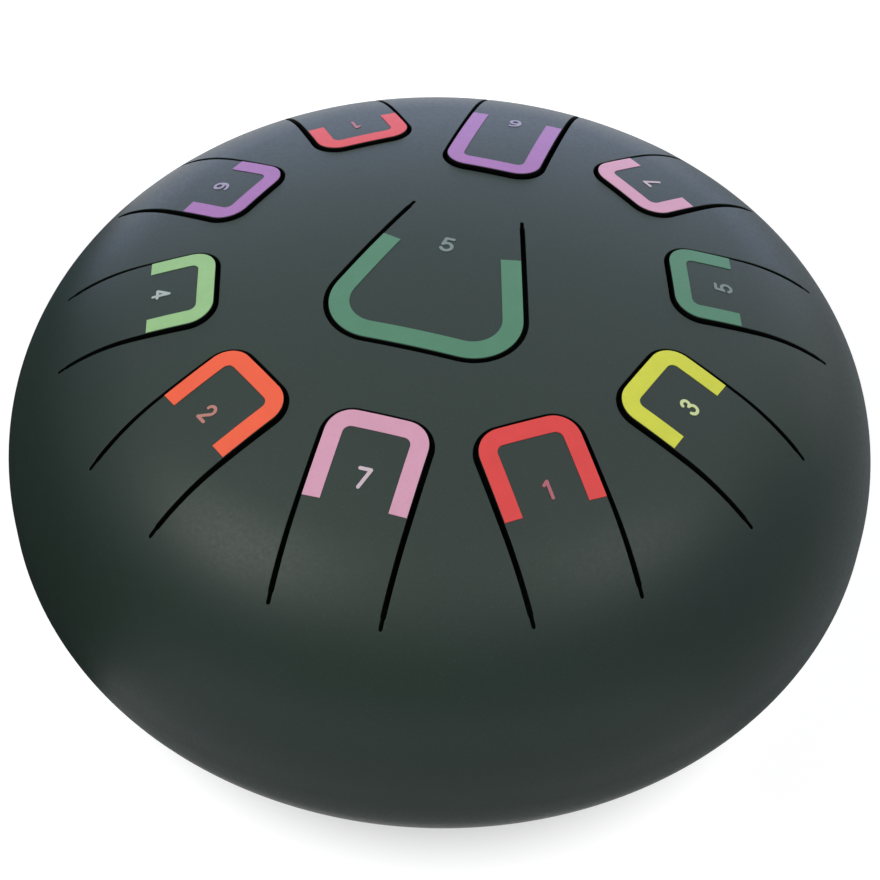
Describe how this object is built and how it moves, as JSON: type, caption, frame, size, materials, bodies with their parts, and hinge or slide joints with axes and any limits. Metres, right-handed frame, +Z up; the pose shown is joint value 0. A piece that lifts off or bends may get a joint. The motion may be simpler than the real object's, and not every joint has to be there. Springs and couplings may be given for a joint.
{
  "type": "steel tongue drum",
  "caption": "Domed hand percussion drum of two welded steel shells, with slotted sprung tongues round the top and one at the centre, coloured bands, numerals and rubber feet.",
  "frame": {"origin": "on the drum's vertical axis, at the bottom of its feet", "axes": "+Z up along the drum's axis, front towards -Y, where the centre tongue's tip points"},
  "size_m": [0.254, 0.254, 0.1311],
  "materials": {
    "shell_coat": "satin powder coat, dark grey-green",
    "foot_rubber": "matt black rubber",
    "film_pink": "satin printed film",
    "film_red": "satin printed film",
    "film_yellow": "satin printed film",
    "film_orange": "satin printed film",
    "film_light_green": "satin printed film",
    "film_green": "satin printed film",
    "film_purple": "satin printed film"
  },
  "bodies": {
    "drum": {"top_shell": "shell_coat", "bottom_shell": "shell_coat", "seam_weld": "shell_coat", "foot_front_left": "foot_rubber", "foot_front_right": "foot_rubber", "foot_back_left": "foot_rubber", "foot_back_right": "foot_rubber"},
    "tongue_low_5_blade": {"tongue_low_5": "shell_coat", "band_low_5": "film_green", "numeral_low_5": "film_green"},
    "tongue_low_7_blade": {"tongue_low_7": "shell_coat", "band_low_7": "film_pink", "numeral_low_7": "film_pink"},
    "tongue_1_blade": {"tongue_1": "shell_coat", "band_1": "film_red", "numeral_1": "film_red"},
    "tongue_3_blade": {"tongue_3": "shell_coat", "band_3": "film_yellow", "numeral_3": "film_yellow"},
    "tongue_5_blade": {"tongue_5": "shell_coat", "band_5": "film_green", "numeral_5": "film_green"},
    "tongue_7_blade": {"tongue_7": "shell_coat", "band_7": "film_pink", "numeral_7": "film_pink"},
    "tongue_low_6_blade": {"tongue_low_6": "shell_coat", "band_low_6": "film_purple", "numeral_low_6": "film_purple"},
    "tongue_high_1_blade": {"tongue_high_1": "shell_coat", "band_high_1": "film_red", "numeral_high_1": "film_red"},
    "tongue_6_blade": {"tongue_6": "shell_coat", "band_6": "film_purple", "numeral_6": "film_purple"},
    "tongue_4_blade": {"tongue_4": "shell_coat", "band_4": "film_light_green", "numeral_4": "film_light_green"},
    "tongue_2_blade": {"tongue_2": "shell_coat", "band_2": "film_orange", "numeral_2": "film_orange"}
  },
  "joints": [
    {"name": "tongue_low_5_flex", "type": "hinge", "parent": "drum", "child": "tongue_low_5_blade", "pos_m": [0, 0.02385, 0.12905], "axis": [1, 0, 0], "range_deg": [-1, 1], "stiffness_Nm_per_rad": 91.3},
    {"name": "tongue_low_7_flex", "type": "hinge", "parent": "drum", "child": "tongue_low_7_blade", "pos_m": [0, -0.10665, 0.10479], "axis": [-1, 0, 0], "range_deg": [-1, 1], "stiffness_Nm_per_rad": 92.5},
    {"name": "tongue_1_flex", "type": "hinge", "parent": "drum", "child": "tongue_1_blade", "pos_m": [0.06269, -0.08628, 0.10479], "axis": [-0.809, -0.5878, 0], "range_deg": [-1, 1], "stiffness_Nm_per_rad": 97.4},
    {"name": "tongue_3_flex", "type": "hinge", "parent": "drum", "child": "tongue_3_blade", "pos_m": [0.10143, -0.03296, 0.10479], "axis": [-0.309, -0.9511, 0], "range_deg": [-1, 1], "stiffness_Nm_per_rad": 105.7},
    {"name": "tongue_5_flex", "type": "hinge", "parent": "drum", "child": "tongue_5_blade", "pos_m": [0.10143, 0.03296, 0.10479], "axis": [0.309, -0.9511, 0], "range_deg": [-1, 1], "stiffness_Nm_per_rad": 108.4},
    {"name": "tongue_7_flex", "type": "hinge", "parent": "drum", "child": "tongue_7_blade", "pos_m": [0.06269, 0.08628, 0.10479], "axis": [0.809, -0.5878, 0], "range_deg": [-1, 1], "stiffness_Nm_per_rad": 112.2},
    {"name": "tongue_low_6_flex", "type": "hinge", "parent": "drum", "child": "tongue_low_6_blade", "pos_m": [0, 0.10665, 0.10479], "axis": [1, 0, 0], "range_deg": [-1, 1], "stiffness_Nm_per_rad": 77.7},
    {"name": "tongue_high_1_flex", "type": "hinge", "parent": "drum", "child": "tongue_high_1_blade", "pos_m": [-0.06269, 0.08628, 0.10479], "axis": [0.809, 0.5878, 0], "range_deg": [-1, 1], "stiffness_Nm_per_rad": 112.5},
    {"name": "tongue_6_flex", "type": "hinge", "parent": "drum", "child": "tongue_6_blade", "pos_m": [-0.10143, 0.03296, 0.10479], "axis": [0.309, 0.9511, 0], "range_deg": [-1, 1], "stiffness_Nm_per_rad": 109.1},
    {"name": "tongue_4_flex", "type": "hinge", "parent": "drum", "child": "tongue_4_blade", "pos_m": [-0.10143, -0.03296, 0.10479], "axis": [-0.309, 0.9511, 0], "range_deg": [-1, 1], "stiffness_Nm_per_rad": 107.9},
    {"name": "tongue_2_flex", "type": "hinge", "parent": "drum", "child": "tongue_2_blade", "pos_m": [-0.06269, -0.08628, 0.10479], "axis": [-0.809, 0.5878, 0], "range_deg": [-1, 1], "stiffness_Nm_per_rad": 101}
  ]
}
